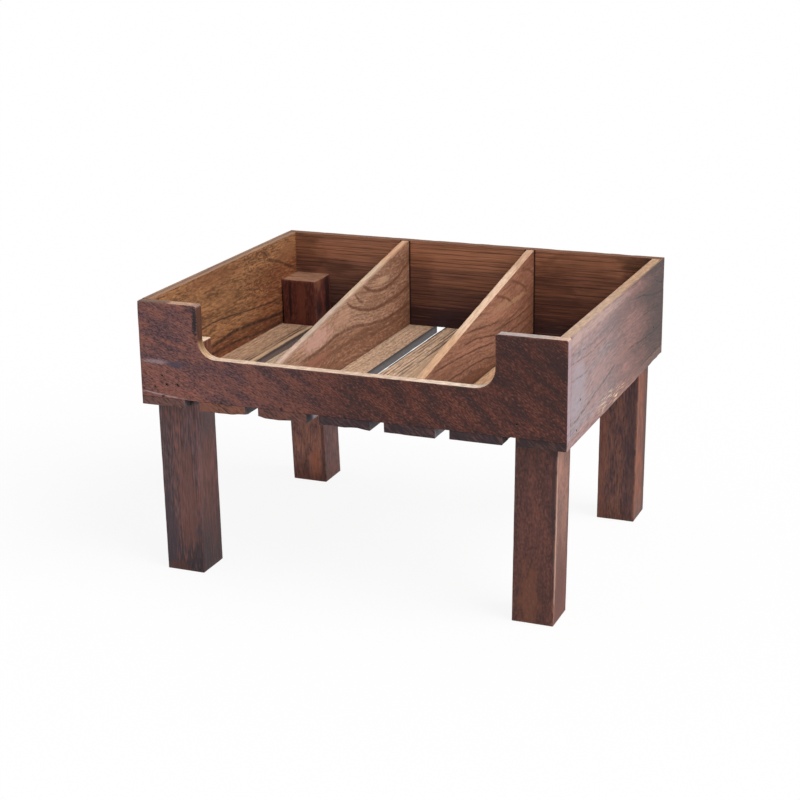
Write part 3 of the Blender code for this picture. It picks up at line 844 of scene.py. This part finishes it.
legGrain = {
    "patch": (7, 40), "streak": (10, 360), "fleck": (75, 560), "pore": (60, 560), "poreDepth": 1.5, "streakDepth": 0.6,
    "darkDepth": 0.2, "brightDepth": 0.2, "dark": tone(40, 27, 30), "bright": tone(150, 90, 68), "rough": 0.48,
    "gloss": 0.28, "relief": 0.0003, "floorRise": (0.2035, 0.2135), "sawnGrain": (60, 300, 2.4),
    "spotGrain": (220, 220, 60), "away": (tone(86, 55, 50), tone(104, 65, 55)),
    "footDepth": (1.0, 0.7),  # pairs are for the cool and the warm stain
}
legLooks = {
    "front_left_leg": {
        "seed": 5.2, "lean": 2.2, "front": (tone(84, 65, 68), tone(96, 68, 67)),
        "right": (tone(105, 70, 72), tone(117, 74, 71)), "post": tone(106, 64, 47), "foot": tone(45, 37, 44),
        "footRise": 0.09, "top": tone(222, 196, 168), "rub": tone(116, 78, 72), "rubbed": 0.15,
        "streakDepth": 0.9, "darkDepth": 0.35, "brightDepth": 0.32, "poreDepth": 2.2,
        # the last spot on the front and the last on the side are painted shade under the front board, between the slats
        "spots": [((-203, 90), (14, 80), tone(116, 72, 60), 0.5), ((-232, 40), (16, 70), tone(62, 53, 62), 0.7),
                  ((-222, 4), (18, 9), tone(92, 52, 36), 0.5), ((-205, 209), (30, 7), tone(38, 36, 42), 0.95)],
        "sideSpots": [((-170, 105), (20, 60), tone(122, 76, 60), 0.5), ((-150, 185), (26, 34), tone(104, 84, 84), 0.6),
                      ((-164, 0), (60, 130), tone(44, 20, 22), 0.6), ((-176, 209), (26, 7), tone(46, 46, 54), 0.95)],
    },
    "front_right_leg": {
        "seed": 15.8, "lean": -3.6, "front": (tone(80, 48, 44), tone(96, 57, 50)),
        "right": (tone(114, 77, 66), tone(132, 89, 74)), "post": tone(110, 68, 56), "foot": tone(78, 45, 38),
        "footRise": 0.16, "top": tone(190, 150, 116), "rub": tone(170, 124, 104), "rubbed": 0.25,
        "streakDepth": 0.3, "fleck": (260, 440), "pore": (200, 480), "patch": (14, 60),
        "spots": [((206, 30), (14, 44), tone(120, 72, 52), 0.5), ((236, 150), (7, 110), tone(46, 32, 36), 0.65)],
        "sideSpots": [((-164, 20), (44, 84), tone(86, 34, 16), 0.65), ((-143, 110), (4, 140), tone(76, 42, 34), 0.75),
                      ((-178, 185), (9, 24), tone(168, 118, 98), 0.5), ((-184, 203), (5, 7), tone(196, 126, 80), 0.75),
                      ((-186, 110), (3, 120), tone(182, 146, 130), 0.6)],
    },
    "back_left_leg": {
        # the back left leg's front is painted lighter than its back and left faces: painted light
        "seed": 25.1, "lean": 9.2, "front": (tone(137, 95, 86), tone(171, 117, 101)),
        "right": (tone(106, 67, 64), tone(127, 81, 75)), "post": tone(92, 46, 39), "foot": tone(92, 52, 42),
        "footRise": 0.04, "top": tone(140, 102, 80), "rub": tone(150, 108, 84), "rubbed": 0.3,
        "darkDepth": 0.4, "fleck": (150, 340), "patch": (40, 80),
        "spots": [((-226, 245), (2.0, 40), tone(34, 20, 18), 0.85), ((-210, 244), (8, 34), tone(124, 68, 50), 0.6),
                  ((-184, 60), (5, 70), tone(70, 46, 44), 0.6), ((-196, 28), (9, 22), tone(200, 122, 90), 0.5)],
        "sideSpots": [((176, 250), (9, 40), tone(32, 21, 21), 0.85), ((152, 266), (9, 10), tone(128, 84, 58), 0.6),
                      ((150, 236), (8, 14), tone(42, 28, 28), 0.75)],
    },
    "back_right_leg": {
        "seed": 35.6, "lean": -2.0, "front": (tone(88, 59, 58), tone(104, 70, 61)),
        "right": (tone(98, 43, 14), tone(112, 51, 20)), "post": tone(98, 58, 52), "foot": tone(86, 52, 42),
        "footRise": 0.04, "top": tone(152, 110, 86), "rub": tone(150, 104, 84), "rubbed": 0.3,
        "darkDepth": 0.45, "brightDepth": 0.32, "streakDepth": 0.9, "patch": (30, 120), "fleck": (110, 480),
        "spots": [((230, 110), (9, 150), tone(58, 42, 48), 0.55), ((206, 195), (16, 30), tone(56, 36, 38), 0.5),
                  ((193, 100), (8, 150), tone(128, 76, 60), 0.4)],
        "sideSpots": [((188, 110), (19, 190), tone(58, 24, 12), 0.85), ((146, 110), (4, 140), tone(130, 80, 56), 0.4)],
    },
}


def legForm(node):
    # hand-set legs: each leans a little from its top, so many mm at the foot
    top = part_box(node)[1].z
    bm = wornBox(node, legWear)
    for v in bm.verts:
        v.co.x += legLooks[node]["lean"] / 1000 * (top - v.co.z) / top
    return bm


def legMaterial(node):
    look = {**legGrain, **legLooks[node]}
    mat, x, y, z = startMaterial(node + "_stain")
    nx, ny, nz = facing(x)
    right = toward(nx)
    inside = rise(z, *look["floorRise"])
    foot = rise(z, look["footRise"], 0.0)
    away = 1 - (1 - toward(ny)) * (1 - toward(nx, -1))  # back and left faces
    stains = []
    for front, back, side, footDepth in zip(look["front"], look["away"], look["right"], look["footDepth"]):
        stain = paint(paint(front, back, away), side, right)
        stains.append(paint(paint(stain, look["post"], inside), look["foot"], foot * footDepth))
    colour, height = grainPaint(*stains, z, x, y, look)
    ragged = mottle(x, y, z, look["spotGrain"])
    colour = paint(colour, spotPaint(colour, x, z, look["spots"], ragged), toward(ny, -1))
    colour = paint(colour, spotPaint(colour, y, z, look["sideSpots"], ragged), right)
    colour = rubEdges(colour, x, y, z, look)
    colour = sawnTop(colour, look["top"], x, y, z, toward(nz), look)
    return woodFinish(mat, colour, height, look)


for node in legLooks:
    showPiece(node + "_stained", legForm(node), node, legMaterial(node))
print("legs shown")


# Floor slats, the outer two cut round the legs

slatGrain = {
    "patch": (6, 50), "streak": (7, 260), "fleck": (60, 420), "pore": (110, 800), "poreDepth": 1.5, "streakDepth": 0.8,
    "darkDepth": 0.45, "brightDepth": 0.35, "dark": tone(104, 78, 64), "bright": tone(220, 184, 144),
    "under": tone(104, 82, 74), "side": tone(103, 97, 98), "sideEnd": tone(122, 118, 124), "arris": tone(52, 42, 40),
    "rough": 0.58, "gloss": 0.35, "relief": 0.0003, "fit": 0.0003, "ring": tone(84, 62, 54), "ringStep": 0.006,
    "ringSway": 1.5, "ringWidth": 0.2, "ringDepth": 0.3, "stained": tone(46, 42, 48), "tip": 0.0,
    "driftGrain": (9, 9, 9), "drift": 0.012, "swayGrain": (60, 7, 9), "brokenGrain": (200, 14, 20), "wobble": 0.002,
    "arrisRise": (0.2085, 0.2132), "arrisDepth": 0.8, "sideFade": (-0.12, -0.17), "sideDepth": 0.8,
    "tipFade": (-0.178, -0.188), "wallFade": (0.1875, 0.189), "outerFade": (-0.23, -0.24),
    "spare": (0, 0, 0), "strokes": [], "chips": [],
}
slatEndGrain = {
    "patch": (30, 60), "streak": (20, 300), "fleck": (120, 420), "pore": (200, 800), "poreDepth": 2.0,
    "streakDepth": 1.0, "darkDepth": 0.8, "brightDepth": 0.25, "dark": tone(36, 27, 30), "bright": frontLook["bright"],
    "slope": 0.7,
}
blueEnd = tone(54, 35, 40)
slatLooks = {
    1: {"seed": 2.2, "top": tone(176, 140, 112), "end": tone(104, 70, 64), "spare": (0, 4.5, -1.3),
        "outer": tone(112, 72, 60), "side": tone(112, 90, 82), "sideEnd": tone(68, 68, 77), "chips": [(-214, 14, 1.2)],
        "strokes": [
            ([(-120, -206.5), (-30, -205.2), (60, -205.6), (150, -204)], 0.8, 0.9, tone(72, 50, 42), 0.9),
            ([(-120, -201.2), (-30, -200.2), (60, -200.6), (150, -200)], 0.8, 0.9, tone(72, 50, 42), 1.0),
            ([(-120, -196.6), (30, -196.2), (150, -196.6)], 1.8, 1.4, tone(216, 186, 150), 0.85),
            ([(-120, -191.4), (30, -191.6), (150, -191.4)], 1.0, 0.8, tone(64, 46, 40), 0.9),
        ]},
    2: {"seed": 4.9, "top": tone(196, 170, 144), "end": tone(122, 76, 60), "spare": (-2.0, 0, 0),
        "sideEnd": tone(72, 67, 72), "chips": [(-124, 9, 3.0)]},
    3: {"seed": 6.1, "top": tone(196, 163, 136), "end": tone(102, 63, 54), "fleck": (260, 330), "darkDepth": 0.5,
        "brightDepth": 0.4, "sideEnd": tone(156, 154, 162), "tip": 1.0, "chips": [(-104.5, 6, 2.5), (-62, 16, 1.5)]},
    4: {"seed": 8.8, "top": tone(222, 188, 158), "end": tone(52, 35, 40), "spare": (1.0, 0, 0),
        "sideEnd": tone(74, 68, 71), "ringStep": 0.0052, "ringWidth": 0.28, "ringDepth": 0.9,
        "strokes": [
            ([(-190, 14), (0, 14), (190, 14)], 18.0, 1.0, tone(216, 178, 142), 0.85),
            ([(-190, -29.2), (0, -29.2), (190, -29.2)], 1.0, 1.0, tone(84, 68, 60), 0.9),
        ], "chips": [(-18, 12, 1.6), (12, 14, 2.2)]},
    5: {"seed": 9.7, "top": tone(216, 171, 135), "end": blueEnd, "ringDepth": 0.12, "darkDepth": 0.25},
    6: {"seed": 13.3, "top": tone(200, 160, 120), "end": blueEnd, "sideEnd": tone(80, 70, 71), "spare": (0, 0, -1.1)},
    7: {"seed": 14.6, "top": tone(186, 146, 112), "end": tone(49, 29, 31), "spare": (0, 0, -1.6)},
}


def slatForm(node, look):
    low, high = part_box(node)
    legs = [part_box(name) for name in legLooks]
    beside = [leg for leg in legs if leg[0].x < high.x and leg[1].x > low.x]
    spare = [mm / 1000 for mm in look["spare"]]  # wider on the left and right, thicker below
    low.z -= spare[2]
    if not beside:
        return boxForm(low - Vector((spare[0], 0, 0)), high + Vector((spare[1], 0, 0)))
    fit = look["fit"]
    left = low.x < 0
    outer, inner = (low.x, high.x) if left else (high.x, low.x)
    notch = beside[0][0].x - fit if left else beside[0][1].x + fit
    ends = sorted([leg[0].y - fit for leg in beside] + [leg[1].y + fit for leg in beside])
    between = inner - spare[0] + spare[1]  # edge between the legs
    points = [(outer, low.y), (inner, low.y), (inner, ends[0]), (notch, ends[0]), (notch, ends[1]),
              (between, ends[1]), (between, ends[2]), (notch, ends[2]), (notch, ends[3]), (inner, ends[3]),
              (inner, high.y), (outer, high.y)]
    return outlineForm([(x, y, low.z) for x, y in points], (0, 0, high.z - low.z))


def chipEdge(bm, node, chips):
    # bites out of the lower front edge: place along it, reach and depth in mm
    low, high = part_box(node)
    for place, reach, depth in chips:
        middle = Vector((place / 1000, low.y, low.z))
        for v in bm.verts:
            share = max(0.0, 1 - (v.co - middle).length * 1000 / reach)
            v.co.z += depth / 1000 * share * (high.z - v.co.z) / (high.z - low.z)
    return bm


def slatMaterial(number, look):
    mat, x, y, z = startMaterial(f"slat_{number}_wood")
    nx, ny, nz = facing(x)
    ground = paint(look["side"], look["top"], toward(nz))
    ground = paint(ground, look["under"], toward(nz, -1))
    drift = (mottle(x, y, z, look["driftGrain"]) - 0.5) * look["drift"]
    colour, height = grainPaint(ground, ground, y, x + drift, z, look)
    ring = x / look["ringStep"] + mottle(x, y, z, look["swayGrain"]) * look["ringSway"]
    broken = mottle(x, y, z, look["brokenGrain"])
    ringed = ringPaint(colour, ring, broken, look["ring"], look["ringWidth"], look["ringDepth"])
    ringed = strokePaint(ringed, y, x, look["strokes"], (broken - 0.5) * look["wobble"], broken)
    colour = paint(colour, ringed, toward(nz))
    end = {**look, **slatEndGrain}
    stained = grainPaint(look["end"], look["end"], x, z + x * end["slope"], y, end)[0]
    shade = height * 0.8 + 0.6
    # painted shade: the sides darken towards their top edge, in the gaps between slats
    sawn = paint(lit(look["side"], shade), look["arris"], rise(z, *look["arrisRise"]) * look["arrisDepth"])
    sawn = paint(sawn, look["sideEnd"], rise(y, *look["sideFade"]) * look["sideDepth"])
    # slat 3's side is painted dark near its front tip: painted shade in the gap under the front
    sawn = paint(sawn, look["stained"], rise(y, *look["tipFade"]) * look["tip"])
    colour = paint(colour, look["stained"], rise(abs(y), *look["wallFade"]))  # painted shade under the walls
    colour = paint(colour, sawn, toward(abs(nx)))
    colour = paint(colour, stained, toward(abs(ny)))
    if number == 1:
        colour = paint(colour, lit(look["outer"], shade), toward(nx, -1) * rise(x, *look["outerFade"]))
    if number == 7:
        colour = paint(colour, sidePaint(x, y, z)[0], toward(nx))
    return woodFinish(mat, colour, height, look)


for number, ownLook in slatLooks.items():
    node = f"floor_slat_{number}"
    look = {**slatGrain, **ownLook}
    form = chipEdge(weather(slatForm(node, look), slatWear), node, look["chips"])
    showPiece(node + "_sawn", form, node, slatMaterial(number, look))
print("slats shown")


# Nails stay as they are and get a dull steel

nailLook = {
    "steel": tone(16, 13, 13), "rust": tone(22, 14, 12), "rough": 0.7, "metal": 0.3, "gloss": 0.5, "relief": 0.0001,
    "rustGrain": (900, 900, 900), "rustStep": (0.45, 0.6), "rustDull": 0.3,
}


def nailMaterial():
    look = nailLook
    mat, x, y, z = startMaterial("dullSteel")
    spots = mottle(x, y, z, look["rustGrain"], 3.0, 0.6)
    rust = rise(spots, *look["rustStep"])
    colour = paint(look["steel"], look["rust"], rust)
    dull = rust * look["rustDull"]
    shader = mat.node_tree.nodes["Principled BSDF"]
    mat.node_tree.links.new((look["metal"] - dull).socket, shader.inputs["Metallic"])
    return finishMaterial(mat, colour, dull + look["rough"], spots, look["relief"], look["gloss"])


steel = nailMaterial()
for name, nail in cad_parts.items():
    if "_nail" in name:
        for place in nail.material_slots:
            place.material = steel
print("nails finished")


# Camera, light and floor

cameraSpec = {
    "place": (0.738316, -1.843256, 0.800118), "yaw": 22.279, "pitch": 17.462, "roll": -0.760, "lens": 78.9,
    "sensor": 36.0,
}


def addCamera():
    yaw, pitch, roll = [math.radians(cameraSpec[key]) for key in ("yaw", "pitch", "roll")]
    ahead = Vector((-math.sin(yaw) * math.cos(pitch), math.cos(yaw) * math.cos(pitch), -math.sin(pitch)))
    right = Vector((math.cos(yaw), math.sin(yaw), 0.0))
    up = right.cross(ahead)
    across = right * math.cos(roll) + up * math.sin(roll)
    upright = up * math.cos(roll) - right * math.sin(roll)
    turn = Matrix((across, upright, -ahead)).transposed().to_4x4()
    data = bpy.data.cameras.new("camera")
    data.lens = cameraSpec["lens"]
    data.sensor_width = cameraSpec["sensor"]
    camera = bpy.data.objects.new("camera", data)
    camera.matrix_world = Matrix.Translation(cameraSpec["place"]) @ turn
    bpy.context.scene.collection.objects.link(camera)
    bpy.context.scene.camera = camera


lightSpec = {"sky": 0.42, "strength": 2.9, "from": (0.72, -0.12, 0.68), "spread": 50, "floor": 0.93, "glow": 0.9}


def seenDirectly(start):
    path = start.node("ShaderNodeLightPath", {}, {}, "Is Camera Ray")
    seen = start.sum("MAXIMUM", path, path.other("Is Glossy Ray"))
    return start.sum("MAXIMUM", seen, path.other("Is Transmission Ray"))


def addLight():
    world = bpy.data.worlds.new("studio")
    world.use_nodes = True
    bpy.context.scene.world = world
    strength = seenDirectly(Wire(world.node_tree)) * (1 - lightSpec["sky"]) + lightSpec["sky"]
    back = world.node_tree.nodes["Background"]
    back.inputs["Color"].default_value = (1, 1, 1, 1)
    world.node_tree.links.new(strength.socket, back.inputs["Strength"])
    data = bpy.data.lights.new("key", "SUN")
    data.energy = lightSpec["strength"]
    data.angle = math.radians(lightSpec["spread"])
    key = bpy.data.objects.new("key", data)
    key.rotation_mode = "QUATERNION"
    key.rotation_quaternion = Vector(lightSpec["from"]).to_track_quat("Z", "Y")
    bpy.context.scene.collection.objects.link(key)


def addFloor():
    bm = bmesh.new()
    bmesh.ops.create_grid(bm, x_segments=1, y_segments=1, size=20.0)
    mesh = bpy.data.meshes.new("studioFloor")
    bm.to_mesh(mesh)
    bm.free()
    floor = bpy.data.objects.new("studioFloor", mesh)
    bpy.context.scene.collection.objects.link(floor)
    mat = bpy.data.materials.new("paleFloor")
    mat.use_nodes = True
    tree = mat.node_tree
    shader = tree.nodes["Principled BSDF"]
    shader.inputs["Base Color"].default_value = (lightSpec["floor"],) * 3 + (1.0,)
    shader.inputs["Roughness"].default_value = 1.0
    shader.inputs["Specular IOR Level"].default_value = 0.0
    start = Wire(tree)
    glow = start.node("ShaderNodeEmission", {}, {"Color": (1, 1, 1, 1), "Strength": 1.0})
    share = seenDirectly(start) * lightSpec["glow"]
    mixed = start.node("ShaderNodeMixShader", {}, {0: share, 1: Wire(tree, shader.outputs[0]), 2: glow})
    tree.links.new(mixed.socket, tree.nodes["Material Output"].inputs["Surface"])
    mesh.materials.append(mat)


addCamera()
addLight()
addFloor()
bpy.context.scene.view_settings.view_transform = "Standard"
print("camera, light and floor set")
